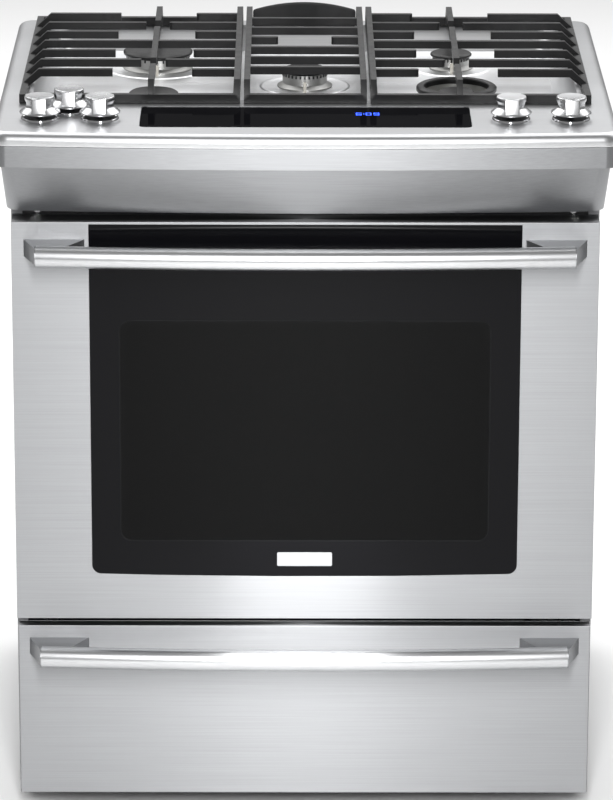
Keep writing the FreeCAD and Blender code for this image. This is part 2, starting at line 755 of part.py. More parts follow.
def build_chassis():
    flange = d.front_flange
    thick = d.panel_thick
    for name, side in (("side_panel_left", -1), ("side_panel_right", 1)):
        body = new_body(name)
        plan = [(side * x, y) for x, y in (
            (body_half, frame_y - thick), (body_half, chassis_back),
            (body_half - flange, chassis_back), (body_half - flange, chassis_back - thick),
            (body_half - thick, chassis_back - thick), (body_half - thick, frame_y),
            (body_half - flange, frame_y), (body_half - flange, frame_y - thick))]
        slab(body, "XY", [plan], (d.toe_gap, nosing_base))
        notch_x = sorted((side * (body_half - thick), side * (body_half - flange - thick)),
                         key=float)
        recess(body, "YZ", [rectangle((frame_y - thick * 2, frame_y + thick),
                                      (drawer_top + d.plate, cavity_base - d.sill))], notch_x)
        keep(body, name)

    body = new_body("rear_panel")
    half = body_half - flange
    slab(body, "XZ", [rectangle((-half, half), (d.toe_gap, nosing_base)),
                      (body_half - d.cord_in, d.cord_level, "round", d.cord_hole),
                      (regulator_x, d.regulator_level, "round",
                       d.inlet_round + d.inlet_room)],
         (chassis_back - thick, chassis_back))
    keep(body, "rear_panel")

    inside = panel_inner - d.slack
    back = chassis_back - thick
    ahead = frame_y + d.sill
    floor = block("base_floor", (-inside, inside), (ahead, back),
                  (d.base_level, d.base_level + d.plate))
    lip = block("base_lip", (-inside, inside), (ahead, ahead + d.plate),
                (d.base_level + d.plate, d.base_level + d.sill))
    keep(fuse("base_pan", [floor, lip]), "base_pan")

    feet = []
    for side in (-1, 1):
        for y in (frame_y + d.foot_ahead, chassis_back - d.foot_behind):
            x = side * (body_half - d.foot_inset)
            pad = rod("foot_pad", "z", (x, y, 0), d.foot_round, d.foot_tall)
            stud = rod("foot_stud", "z", (x, y, d.foot_tall), d.stud_round,
                       d.base_level - d.foot_tall)
            feet.append(fuse("foot", [pad, stud]))
    keep(group("levelling_feet", feet), "levelling_feet")

    body = new_body("front_frame")
    half = body_half - flange - d.slack
    mouth_base = cavity_base
    slab(body, "XZ", [rectangle((-half, half), (mouth_base - d.sill, nosing_base - d.sill)),
                      rectangle((-cavity_half, cavity_half), (mouth_base, cavity_top))],
         (frame_y, frame_back))
    keep(body, "front_frame")

    baffle_y = frame_y + d.baffle_back
    shelf = block("ceiling_shelf", (-inside, inside), (baffle_y, back - d.flue_deep),
                  (shelf_base, shelf_base + d.plate))
    wall = block("ceiling_wall", (-inside, inside), (baffle_y, baffle_y + d.plate),
                 (shelf_base + d.plate, mouth_base - d.sill))
    tie = block("ceiling_tie", (-inside, inside), (frame_back, baffle_y + d.plate),
                (mouth_base - d.sill, mouth_base - d.sill + d.plate))
    keep(fuse("drawer_ceiling", [shelf, wall, tie]), "drawer_ceiling")


def build_oven():
    shell = d.liner_thick
    back = cavity_back
    outer = block("liner_outer", (-cavity_half - shell, cavity_half + shell),
                  (frame_back, back + shell), (cavity_base - shell, cavity_top + shell))
    room = block("liner_room", (-cavity_half, cavity_half), (frame_back - shell, back),
                 (cavity_base, cavity_top))
    hole = rod("liner_shaft_hole", "y", (0, back - shell, fan_level),
               d.shaft_round + d.stem_room, shell * 3)
    keep(cut("oven_liner", outer, [room, hole]), "oven_liner")

    wool = d.wool
    far = back + shell + wool
    coat = block("wool_outer", (-cavity_half - shell - wool, cavity_half + shell + wool),
                 (frame_back + d.slack, far),
                 (shelf_base + d.plate, cavity_top + shell + wool))
    core = block("wool_room", (-cavity_half - shell, cavity_half + shell),
                 (frame_back, back + shell), (cavity_base - shell, cavity_top + shell))
    neck = rod("wool_motor_room", "y", (0, back, fan_level), d.motor_round + d.plate,
               wool * 2)
    baffle_end = frame_y + d.baffle_back + d.plate
    corner = block("wool_tie_room", (-body_half, body_half), (frame_back, baffle_end),
                   (0, cavity_base - d.sill + d.plate))
    keep(cut("insulation_wrap", coat, [core, neck, corner]), "insulation_wrap")

    body = new_body("oven_gasket")
    reach = d.sill - d.plate

    def ring(out):
        return rounded((-cavity_half - out, cavity_half + out),
                       (cavity_base - out, cavity_top + out), d.window_corner - reach + out)

    slab(body, "XZ", [ring(reach), ring(reach - d.bead)], (door_back + d.lift_gap, frame_y))
    keep(body, "oven_gasket")

    ladders = []
    deep = (ladder_start, ladder_start + rack_deep)
    for side in (-1, 1):
        body = new_body(f"ladder_{'left' if side < 0 else 'right'}")
        wall_x = sorted((side * cavity_half, side * (cavity_half - d.plate)), key=float)
        slab(body, "YZ", [rectangle(deep, (rack_low - d.ladder_below,
                                           cavity_top - d.ladder_above))], wall_x)
        ledge_x = sorted((side * (cavity_half - d.plate / 2),
                          side * (cavity_half - d.ledge_wide)), key=float)
        for step in range(SIZES["ledge_count"]):
            level = rack_low - d.rack_wire - d.ledge_gap + ledge_pitch * step
            slab(body, "YZ", [rectangle(deep, (level - d.ledge_thick, level))], ledge_x)
        ladders.append(body)
    keep(group("rack_supports", ladders), "rack_supports")

    for name, step in (("oven_rack_lower", 0), ("oven_rack_upper", 4)):
        keep(build_rack(name, rack_low + ledge_pitch * step), name)

    tube = d.tube_round
    bake_y = ladder_start + d.bake_ahead
    bake_z = cavity_base + tube + d.tube_lift
    bake_long = rack_deep - d.bake_short
    bake = [rod("bake_leg", "y", (side * d.bake_side, bake_y, bake_z), tube, bake_long)
            for side in (-1, 1)]
    bake.append(rod("bake_cross", "x", (-d.bake_side, bake_y + bake_long, bake_z), tube,
                    d.bake_side * 2))
    keep(fuse("bake_burner", bake), "bake_burner")

    broil_z = cavity_top - tube - d.broil_drop
    broil = rod("broil_tube", "y", (0, ladder_start, broil_z), tube, rack_deep - d.broil_short)
    screen = block("broil_screen", (-d.screen_half, d.screen_half),
                   (ladder_start + d.broil_short, ladder_start + rack_deep - d.bake_short),
                   (broil_z + tube - d.plate, broil_z + tube + d.plate))
    keep(fuse("broil_burner", [broil, screen]), "broil_burner")

    blade_end = back - d.fan_gap
    blade_start = blade_end - d.fan_thick
    keep(build_fan(blade_start, blade_end), "convection_fan")

    shaft_start = blade_start + d.hub_wall + d.slack
    case_start = back + shell + d.plate
    shaft = rod("motor_shaft", "y", (0, shaft_start, fan_level), d.shaft_round,
                case_start - shaft_start + d.plate)
    case = rod("motor_case", "y", (0, case_start, fan_level), d.motor_round, d.motor_long)
    keep(fuse("fan_motor", [shaft, case]), "fan_motor")

    keep(rod("lamp_dome", "y", (-d.lamp_side, back - d.lamp_tall, cavity_top - d.lamp_drop),
             d.lamp_round, d.lamp_tall), "oven_lamp")


def build_fan(start, end):
    """A centrifugal fan: straight blades that stand on a disc round a hub."""
    body = new_body("convection_fan")
    middle = as_size(0)
    slab(body, "XZ", [(middle, fan_level, "round", d.fan_round)], (end - d.fan_disc, end))
    slab(body, "XZ", [(middle, fan_level, "round", d.hub_round)], (start, end))
    near, far, half = d.blade_root, d.fan_round, d.blade_thick / 2
    count = SIZES["blade_count"]
    for number in range(count):
        turn = math.radians(360 / count * number)
        across, along = math.cos(turn), math.sin(turn)
        blade = [(reach * across + side * half * along,
                  fan_level + reach * along - side * half * across)
                 for reach, side in ((near, 1), (far, 1), (far, -1), (near, -1))]
        slab(body, "XZ", [blade], (start, end - d.fan_disc / 2))
    recess(body, "XZ", [(middle, fan_level, "round", d.shaft_round + d.fit)],
           (start + d.hub_wall, end))
    return body


def build_rack(name, level):
    """A wire rack: a rod frame with thinner wires laid on its cross rods."""
    wire = d.rack_wire
    half = cavity_half - d.plate - wire - d.slack
    start, end = ladder_start, ladder_start + rack_deep - d.rack_short
    bars = [rod("rack_side", "y", (side * half, start, level), wire, end - start)
            for side in (-1, 1)]
    bars += [rod("rack_cross", "x", (-half, y, level), wire, half * 2)
             for y in (start, start + (end - start) / 2, end)]
    count = SIZES["wire_count"]
    for number in range(count):
        x = half * (2 * (number + 1) / (count + 1) - 1)
        bars.append(rod("rack_wire", "y", (x, start, level + wire - d.slack), d.rack_rod,
                        end - start))
    return fuse(name, bars)


def build_services():
    x, z = regulator_x, d.regulator_level
    case_y = chassis_back - d.panel_thick - d.regulator_behind
    case_end = case_y + d.regulator_deep
    inlet_end = chassis_back - d.panel_thick + d.inlet_out
    inlet = rod("inlet_boss", "y", (x, case_end - d.plate, z), d.inlet_round + d.inlet_wall,
                inlet_end - case_end + d.plate)
    case = rod("regulator_case", "y", (x, case_y, z), d.regulator_round, d.regulator_deep)
    spring = rod("regulator_cap", "y", (x, case_y - d.spring_long, z), d.spring_round,
                 d.spring_long + d.plate)
    thread = rod("inlet_thread", "y", (x, inlet_end - d.inlet_long, z), d.inlet_round,
                 d.inlet_long + d.inlet_wall)
    solid = fuse("regulator_solid", [inlet, case, spring])
    keep(cut("pressure_regulator", solid, [thread]), "pressure_regulator")

    screws = []
    count = SIZES["rear_screws"]
    first = d.toe_gap + d.rear_screw_base
    pitch = (nosing_base - d.rear_screw_in - first) / (count - 1)
    for side in (-1, 1):
        x = side * (body_half - d.front_flange / 2)
        screws += [rod("rear_screw", "y", (x, chassis_back, first + pitch * number),
                       d.screw_round, d.screw_head) for number in range(count)]
        screw_x = side * (body_half - d.front_flange - d.front_screw_in)
        screws.append(rod("front_screw", "y", (screw_x, frame_y - d.screw_head,
                                               door_top + d.gap / 2),
                          d.screw_round, d.screw_head))
    keep(group("screws", screws), "screws")


# ---------------------------------------------------------------- door


def window_outline(half, low, high, corner, sag):
    """The window: rounded at the bottom, where its edge hangs down a little."""
    flat = half - corner
    return [(-flat, low, arc_radius(flat * 2, sag)), (flat, low, corner),
            (half, low + corner), (half, high), (-half, high), (-half, low + corner, corner)]


def hinge_notch(body):
    """Cut the room that the hinge bracket needs while the door swings."""
    for side in (-1, 1):
        x = side * hinge_x
        recess(body, "YZ", [rectangle((hinge_y - d.notch_room, door_back + d.plate),
                                      (door_base - d.plate, hinge_z + d.notch_room))],
               (x - d.notch_half, x + d.notch_half))


def build_door():
    half = door_half
    skin = d.skin
    win_half = half - d.window_side
    win_low = door_base + d.window_rise
    liner_front = door_back - d.plate

    body = new_body("door_skin")
    slab(body, "XZ", [rectangle((-half, half), (door_base, door_top))], (face_y, liner_front))
    recess(body, "XZ", [rectangle((skin - half, half - skin), (door_base + skin,
                                                               door_top - skin))],
           (face_y + skin, liner_front))
    win_high = door_top - skin - d.window_lip
    recess(body, "XZ", [window_outline(win_half, win_low, win_high, d.window_corner,
                                       d.window_arc)], (face_y, face_y + skin))
    hinge_notch(body)
    keep(body, "door_skin")

    body = new_body("door_glass")
    gap = d.slack / 2
    glass_back = face_y + d.glass_sink + d.glass_thick
    slab(body, "XZ", [window_outline(win_half - gap, win_low + gap, win_high - gap,
                                     d.window_corner - gap, d.window_arc)],
         (face_y + d.glass_sink, glass_back))
    keep(body, "door_glass")

    view_half = win_half - d.view_side
    view_z = (win_low + d.view_rise, door_top - d.view_drop)
    view = ((-view_half, view_half), view_z)
    outer_x = view_half + d.view_grow
    outer_z = (view_z[0] - d.view_grow, view_z[1] + d.view_grow)
    panes = []
    for number in range(2):
        low = face_y + d.pane_first + d.pane_pitch * number
        panes.append(block(f"pane_{number}", (-outer_x, outer_x), (low, low + d.pane), outer_z))
    pane_back = low + d.pane
    keep(group("door_panes", panes), "door_panes")

    body = new_body("door_liner")
    edge = half - skin
    slab(body, "XZ", [rectangle((-half, half), (door_base, door_top)),
                      rectangle(*view)], (liner_front, door_back))
    slab(body, "XZ", [rectangle((-outer_x, outer_x), outer_z), rectangle(*view)],
         (pane_back, liner_front))

    def rib_outline(inset):
        return rectangle((inset - win_half, win_half - inset), (win_low + inset,
                                                                door_top - inset))

    slab(body, "XZ", [rib_outline(d.rib), rib_outline(d.rib + skin)], (glass_back, liner_front))
    ledge_top = door_top - skin - d.seal_ledge
    slab(body, "XZ", [rectangle((-edge, edge), (ledge_top - d.plate, ledge_top))],
         (liner_front - d.seal_ledge, liner_front))
    hinge_notch(body)
    keep(body, "door_liner")

    badge_half = d.badge_wide / 2
    badge_low = win_low + d.badge_rise
    badge = new_body("badge_plate")
    slab(badge, "XZ", [rounded((-badge_half, badge_half), (badge_low, badge_low + d.badge_tall),
                               d.badge_corner)],
         (face_y - d.badge_proud, face_y + d.glass_sink))
    keep(badge, "badge_plate")

    arms, brackets = [], []
    half_cheek, tongue = d.cheek_thick / 2, d.arm_thick / 2
    for side in (-1, 1):
        x = side * hinge_x
        for offset in (-1, 1):
            cheek_x = x + offset * d.cheek_side
            arm = block("arm_cheek", (cheek_x - half_cheek, cheek_x + half_cheek),
                        (face_y + skin + d.arm_ahead, hinge_y + d.arm_half),
                        (hinge_z - d.arm_half, hinge_z + d.arm_tall))
            hole = rod("arm_hole", "x", (cheek_x - d.cheek_thick, hinge_y, hinge_z),
                       d.hinge_pin + d.fit, d.cheek_thick * 2)
            arms.append(cut("hinge_arm", arm, [hole]))
        leaf = block("bracket_tongue", (x - tongue, x + tongue),
                     (hinge_y - d.arm_half, frame_y + d.baffle_back),
                     (hinge_z - d.tongue_half, hinge_z + d.tongue_half))
        pin_half = d.arm_thick + d.pin_out
        pin = rod("bracket_pin", "x", (x - pin_half, hinge_y, hinge_z), d.hinge_pin,
                  pin_half * 2)
        brackets.append(fuse("hinge_bracket", [leaf, pin]))
    keep(group("hinge_arms", arms), "hinge_arms")
    keep(group("hinge_brackets", brackets), "hinge_brackets")


def bowed_bar(name, level, radius):
    """A round bar bowed forward in plan, as part of a ring."""
    curve = arc_radius(grip_half * 2, d.bow)
    item = doc.addObject("Part::Torus", name)
    bind(item, Radius1=curve, Radius2=radius)
    turn = math.degrees(2 * math.asin(float(grip_half) / float(curve)))
    item.Angle3 = turn
    item.Placement = Placement(Vector(), Rotation(Vector(0, 0, 1), -90 - turn / 2))
    return place(item, 0, d.grip_round - d.overall_deep / 2 + curve, level)


def build_handle(name, level):
    bar = bowed_bar(f"{name}_rod", level, d.grip_round)
    bore = bowed_bar(f"{name}_bore", level, d.grip_round - d.grip_wall)
    keep(cut(name, bar, [bore]), name)

    mounts = []
    end_front = d.bow - d.overall_deep / 2
    axis_y = end_front + d.grip_round
    top, low = level + d.mount_above, level - d.mount_below
    for side in (-1, 1):
        body = new_body(f"{name}_end_{'left' if side < 0 else 'right'}")
        outer = door_half - d.mount_in
        inner = outer - d.mount_long
        tip, lean_x = grip_half + d.end_cap, inner + d.mount_lean
        plan = [(outer, face_y), (tip, axis_y - d.end_lean), (tip, axis_y),
                (grip_half, axis_y), (lean_x, axis_y), (inner, face_y)]
        slab(body, "XY", [[(side * x, y) for x, y in plan]], (low, top))
        slab(body, "YZ", [(axis_y, level, "round", d.grip_round)],
             sorted((side * grip_half, side * tip), key=float))
        web = [(face_y, low), (axis_y, level - d.grip_round), (axis_y, top), (face_y, top)]
        slab(body, "YZ", [web], sorted((side * lean_x, side * tip), key=float))
        mounts.append(cut(f"{name}_mount", body,
                          [bowed_bar(f"{name}_seat", level, d.grip_round)]))
    keep(group(f"{name}_ends", mounts), f"{name}_ends")


# ---------------------------------------------------------------- drawer


def build_drawer():
    half = body_half - d.drawer_gap
    skin = d.skin
    back = face_y + d.front_thick
    body = new_body("drawer_front")
    slab(body, "XZ", [rectangle((-half, half), (d.toe_gap, drawer_top))], (face_y, back))
    recess(body, "XZ", [rectangle((skin - half, half - skin), (d.toe_gap + skin,
                                                               drawer_top - skin))],
           (face_y + skin, back))
    keep(body, "drawer_front")

    rail_x = body_half - d.front_flange - d.slack
    box_half = rail_x - d.rail_out
    wall = d.box_wall
    y0, y1 = back, chassis_back - d.box_behind
    z0, z1 = d.box_base, d.box_base + d.box_tall
    body = new_body("drawer_box")
    slab(body, "XY", [rectangle((-box_half, box_half), (y0, y1))], (z0, z1))
    recess(body, "XY", [rectangle((wall - box_half, box_half - wall), (y0 + wall, y1 - wall))],
           (z0 + wall, z1))
    keep(body, "drawer_box")

    slide_y0 = frame_y + d.baffle_back
    slide_y1 = chassis_back - d.slide_behind
    rails, channels = [], []
    for side in (-1, 1):
        x_span = sorted((side * box_half, side * rail_x), key=float)
        rails.append(block("rail", x_span, (slide_y0, slide_y1),
                           (d.slide_level - d.rail_high / 2, d.slide_level + d.rail_high / 2)))
        outer = panel_inner
        mouth = outer - d.channel_deep
        body = new_body(f"channel_{'left' if side < 0 else 'right'}")
        z_mid, high = d.slide_level, d.channel_high / 2
        lip = high - d.plate - d.channel_lip
        profile = [(outer, z_mid - high), (outer, z_mid + high), (mouth, z_mid + high),
                   (mouth, z_mid + lip), (mouth + d.plate, z_mid + lip),
                   (mouth + d.plate, z_mid + high - d.plate),
                   (outer - d.plate, z_mid + high - d.plate),
                   (outer - d.plate, z_mid - high + d.plate),
                   (mouth + d.plate, z_mid - high + d.plate),
                   (mouth + d.plate, z_mid - lip), (mouth, z_mid - lip),
                   (mouth, z_mid - high)]
        slab(body, "XZ", [[(side * x, z) for x, z in profile]], (slide_y0, slide_y1))
        channels.append(body)
    keep(group("drawer_rails", rails), "drawer_rails")
    keep(group("slide_channels", channels), "slide_channels")


# ---------------------------------------------------------------- build, check and write

build_cooktop()
build_fascia()
build_controls()
build_burners()
build_side_grate("grate_left", -1)
build_side_grate("grate_right", 1)
build_middle_grate()
build_chassis()
build_oven()
build_services()
build_door()
build_handle("door_handle", door_top - d.door_grip_drop)
build_drawer()
build_handle("drawer_handle", drawer_top - d.drawer_grip_drop)
doc.recompute()

for item in doc.Objects:
    if "Invalid" in item.State or "Error" in item.State:
        raise RuntimeError(f"{item.Label} did not compute: {item.State}")
os.makedirs("parts", exist_ok=True)
for item in sub_parts:
    if item.Shape.isNull() or not item.Shape.isValid():
        raise RuntimeError(f"{item.Label} is not a valid shape")
for item in sub_parts:
    item.Shape.exportStep(f"parts/{item.Label}.step")
print(len(sub_parts), "sub-parts written")
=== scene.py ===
"""Looks of a slide-in gas range: an add-on that finishes the range piece by piece.

Everything is in metres, in the range's own frame: +X right, +Y back, +Z up, origin on the
floor. The front faces -Y.
"""
import json
import math

import bmesh
import bpy
from bpy.props import FloatProperty, FloatVectorProperty, IntProperty, PointerProperty
from mathutils import Matrix, Vector


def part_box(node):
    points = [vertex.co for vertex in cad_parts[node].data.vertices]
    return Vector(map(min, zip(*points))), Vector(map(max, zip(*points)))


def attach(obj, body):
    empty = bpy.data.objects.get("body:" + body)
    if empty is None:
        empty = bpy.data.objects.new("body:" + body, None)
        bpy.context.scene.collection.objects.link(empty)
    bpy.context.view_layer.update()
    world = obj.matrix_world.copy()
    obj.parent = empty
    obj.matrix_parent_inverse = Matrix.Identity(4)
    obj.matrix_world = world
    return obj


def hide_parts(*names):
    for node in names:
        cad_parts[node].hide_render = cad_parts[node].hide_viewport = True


bl_info = {
    "name": "Gas range",
    "version": (1, 0, 0),
    "blender": (4, 5, 0),
    "location": "View3D > Sidebar > Range",
    "description": "Models and finishes the visible pieces of a slide-in gas range",
    "category": "Object",
}

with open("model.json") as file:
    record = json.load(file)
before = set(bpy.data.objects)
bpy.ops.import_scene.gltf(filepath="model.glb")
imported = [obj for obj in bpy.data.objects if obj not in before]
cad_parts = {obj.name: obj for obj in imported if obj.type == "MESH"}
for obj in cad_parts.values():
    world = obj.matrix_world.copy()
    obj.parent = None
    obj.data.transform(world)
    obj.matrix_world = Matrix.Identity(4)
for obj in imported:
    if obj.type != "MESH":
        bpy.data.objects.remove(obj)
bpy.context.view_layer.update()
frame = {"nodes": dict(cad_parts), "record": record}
bpy.ops.object.select_all(action="DESELECT")

KNOBS = ("left_outer", "left_inner", "left_rear", "right_inner", "right_outer")


# ---------------------------------------------------------------- settings


def colour(name, description, default):
    return FloatVectorProperty(name=name, description=description, default=default,
                               subtype="COLOR", min=0.0, max=1.0, size=3)


def length(name, description, default):
    return FloatProperty(name=name, description=description, default=default,
                         subtype="DISTANCE", unit="LENGTH", precision=4)


class RANGE_PG_finishes(bpy.types.PropertyGroup):
    """Colours of the range's finishes."""

    steel: colour("Steel", "Brushed stainless panels", (0.38, 0.385, 0.395))
    # The apron is the same steel as the panels; its own, slightly lighter tone is painted light
    # where it faces down into shade.
    apron: colour("Apron", "Brushed apron under the front band", (0.40, 0.405, 0.415))
    # The ledge and the deck are one stainless sheet in two tones: the darker ledge is painted
    # shade, and the much brighter deck is painted light where the pan supports shade it.
    ledge: colour("Ledge", "Stainless cooktop outside the burner deck", (0.50, 0.505, 0.515))
    deck: colour("Deck", "Sunken burner deck", (0.86, 0.865, 0.875))
    satin: colour("Satin", "Handles and knobs", (0.66, 0.665, 0.675))
    iron: colour("Iron", "Enamelled cast iron", (0.007, 0.007, 0.0075))
    black: colour("Black", "Printed glass", (0.004, 0.004, 0.005))
    alloy: colour("Alloy", "Cast burner heads", (0.42, 0.42, 0.41))
    digits: colour("Digits", "Lit clock digits", (0.02, 0.10, 0.85))


class RANGE_PG_sizes(bpy.types.PropertyGroup):
    """Sizes of details that the design leaves open."""

    steel_edge: length("Steel edge", "Radius of folded steel edges", 0.0016)
    iron_edge: length("Iron edge", "Radius of cast edges", 0.0026)
    digit_tall: length("Digit height", "Height of the clock's digits", 0.0135)
    digits_left: length("Clock", "From the middle to the clock's left edge", 0.065)
    emboss: length("Emboss", "Height of the pressed ring round a burner", 0.0009)
    emboss_out: length("Emboss reach", "From a burner's base to the ring's edge", 0.024)
    ports: IntProperty(name="Ports", description="Flame ports round a burner", default=32)


class RANGE_PG_studio(bpy.types.PropertyGroup):
    """Camera and light."""

    distance: length("Distance", "From the camera to the range", 6.3)
    elevation: FloatProperty(name="Elevation", description="Camera's height over the horizon",
                             default=math.radians(17.2), subtype="ANGLE")
    turn: FloatProperty(name="Turn", description="Camera's turn round the range",
                        default=math.radians(0.25), subtype="ANGLE")
    roll: FloatProperty(name="Roll", description="Camera's roll",
                        default=math.radians(0.16), subtype="ANGLE")
    lens: FloatProperty(name="Lens", description="Focal length in millimetres", default=208.5)
    target: length("Target height", "Height that the camera looks at", 0.478)


def finishes():
    return bpy.context.scene.range_finishes


def sizes():
    return bpy.context.scene.range_sizes


def studio():
    return bpy.context.scene.range_studio


# ---------------------------------------------------------------- materials


def new_material(name, base, roughness, metallic=0.0, **sockets):
    """A material and its shader, with plain numbers set on the shader's own sockets."""
    made = bpy.data.materials.new(name)
    made.use_nodes = True
    shader = made.node_tree.nodes["Principled BSDF"]
    shader.inputs["Base Color"].default_value = (*base, 1.0)
    shader.inputs["Roughness"].default_value = roughness
    shader.inputs["Metallic"].default_value = metallic
    for socket, value in sockets.items():
        shader.inputs[socket.replace("_", " ")].default_value = value
    return made, shader


def add_node(made, kind, **values):
    item = made.node_tree.nodes.new(kind)
    for name, value in values.items():
        if hasattr(item, name):
            setattr(item, name, value)
        else:
            item.inputs[name.replace("_", " ")].default_value = value
    return item


def link(made, source, target):
    made.node_tree.links.new(source, target)


def stretched_noise(made, scale, detail=2.0):
    """Noise in object space, with its own scale along each axis."""
    place = add_node(made, "ShaderNodeTexCoord")
    mapping = add_node(made, "ShaderNodeMapping")
    mapping.inputs["Scale"].default_value = scale
    noise = add_node(made, "ShaderNodeTexNoise", Scale=1.0, Detail=detail, Roughness=0.55)
    link(made, place.outputs["Object"], mapping.inputs["Vector"])
    link(made, mapping.outputs["Vector"], noise.inputs["Vector"])
    return noise.outputs["Fac"]


def tint(made, shader, base, source, depth, low=0.35, high=0.65):
    """Vary the base colour a little with a pattern."""
    ramp = add_node(made, "ShaderNodeValToRGB")
    ramp.color_ramp.elements[0].position = low
    ramp.color_ramp.elements[1].position = high
    ramp.color_ramp.elements[0].color = (*[c * (1 - depth) for c in base], 1.0)
    ramp.color_ramp.elements[1].color = (*[min(c * (1 + depth), 1.0) for c in base], 1.0)
    link(made, source, ramp.inputs["Fac"])
    link(made, ramp.outputs["Color"], shader.inputs["Base Color"])


def vary_roughness(made, shader, source, low, high):
    span = add_node(made, "ShaderNodeMapRange", To_Min=low, To_Max=high, From_Min=0.3,
                    From_Max=0.7)
    link(made, source, span.inputs["Value"])
    link(made, span.outputs["Result"], shader.inputs["Roughness"])


def add_bump(made, shader, source, strength, depth):
    bump = add_node(made, "ShaderNodeBump", Strength=strength, Distance=depth)
    link(made, source, bump.inputs["Height"])
    link(made, bump.outputs["Normal"], shader.inputs["Normal"])


def brushed(name, base, roughness, grain=(5.0, 1400.0, 1400.0), spread=0.0, depth=0.055):
    """Stainless steel brushed along X. Spread widens reflections across the grain."""
    made, shader = new_material(name, base, roughness, 1.0)
    shader.inputs["Anisotropic"].default_value = spread
    shader.inputs["Anisotropic Rotation"].default_value = 0.25
    fine = stretched_noise(made, grain, 3.0)
    tint(made, shader, base, fine, depth)
    broad = stretched_noise(made, (1.7, 6.0, 6.0), 1.0)
    vary_roughness(made, shader, broad, roughness - 0.03, roughness + 0.03)
    add_bump(made, shader, fine, 0.12, 0.00008)
    return made


def two_tone_painted_light_shade(name, upper, lower, level, roughness):
    """Brushed steel whose tone changes below a level: lit and shaded copies of one steel, painted
    light and shade.
    """
    made = brushed(name, upper, roughness)
    shader = made.node_tree.nodes["Principled BSDF"]
    toned = shader.inputs["Base Color"].links[0].from_socket
    place = add_node(made, "ShaderNodeTexCoord")
    split = add_node(made, "ShaderNodeSeparateXYZ")
    link(made, place.outputs["Object"], split.inputs["Vector"])
    depth = add_node(made, "ShaderNodeMapRange", From_Min=level - 0.012, From_Max=level,
                     To_Min=1.0, To_Max=0.0)
    link(made, split.outputs["Z"], depth.inputs["Value"])
    gain = add_node(made, "ShaderNodeMix", data_type="RGBA", blend_type="MULTIPLY")
    gain.clamp_result = True
    gain.inputs[7].default_value = (*[low / up for low, up in zip(lower, upper)], 1.0)
    link(made, depth.outputs["Result"], gain.inputs[0])
    link(made, toned, gain.inputs[6])
    link(made, gain.outputs[2], shader.inputs["Base Color"])
    return made


def cast(name, base, roughness, grain=1100.0, strength=0.35):
    """Cast or enamelled metal with a fine pebbled skin."""
    made, shader = new_material(name, base, roughness)
    shader.inputs["Specular IOR Level"].default_value = 0.3
    skin = stretched_noise(made, (grain, grain, grain), 3.0)
    broad = stretched_noise(made, (38.0, 38.0, 38.0), 3.0)
    tint(made, shader, base, broad, 0.3)
    vary_roughness(made, shader, broad, roughness - 0.06, roughness + 0.08)
    add_bump(made, shader, skin, strength, 0.00025)
    return made


def plain(name, base, roughness, metallic=0.0, grain=300.0, depth=0.06, strength=0.1, **sockets):
    """Paint, plastic, ceramic or bare metal with faint unevenness."""
    made, shader = new_material(name, base, roughness, metallic, **sockets)
    skin = stretched_noise(made, (grain, grain, grain), 2.0)
    broad = stretched_noise(made, (9.0, 9.0, 9.0), 2.0)
    tint(made, shader, base, broad, depth)
    vary_roughness(made, shader, broad, roughness * 0.9, min(roughness * 1.12, 1.0))
    add_bump(made, shader, skin, strength, 0.0001)
    return made


def speckled(name, base, fleck):
    """Vitreous enamel with pale flecks."""
    made, shader = new_material(name, base, 0.22)
    shader.inputs["Coat Weight"].default_value = 0.4
    place = add_node(made, "ShaderNodeTexCoord")
    cells = add_node(made, "ShaderNodeTexVoronoi", Scale=260.0)
    ramp = add_node(made, "ShaderNodeValToRGB")
    ramp.color_ramp.elements[0].position = 0.10
    ramp.color_ramp.elements[1].position = 0.16
    ramp.color_ramp.elements[0].color = (*fleck, 1.0)
    ramp.color_ramp.elements[1].color = (*base, 1.0)
    link(made, place.outputs["Object"], cells.inputs["Vector"])
    link(made, cells.outputs["Distance"], ramp.inputs["Fac"])
    link(made, ramp.outputs["Color"], shader.inputs["Base Color"])
    add_bump(made, shader, stretched_noise(made, (60.0, 60.0, 60.0), 2.0), 0.1, 0.0003)
    return made


def glass_black(name, base):
    """Black printed glass, almost a mirror, with a trace of orange peel."""
    made, shader = new_material(name, base, 0.055, IOR=1.04)
    broad = stretched_noise(made, (5.0, 5.0, 5.0), 2.0)
    tint(made, shader, base, broad, 0.25)
    add_bump(made, shader, stretched_noise(made, (16.0, 16.0, 16.0), 1.0), 0.02, 0.0008)
    return made


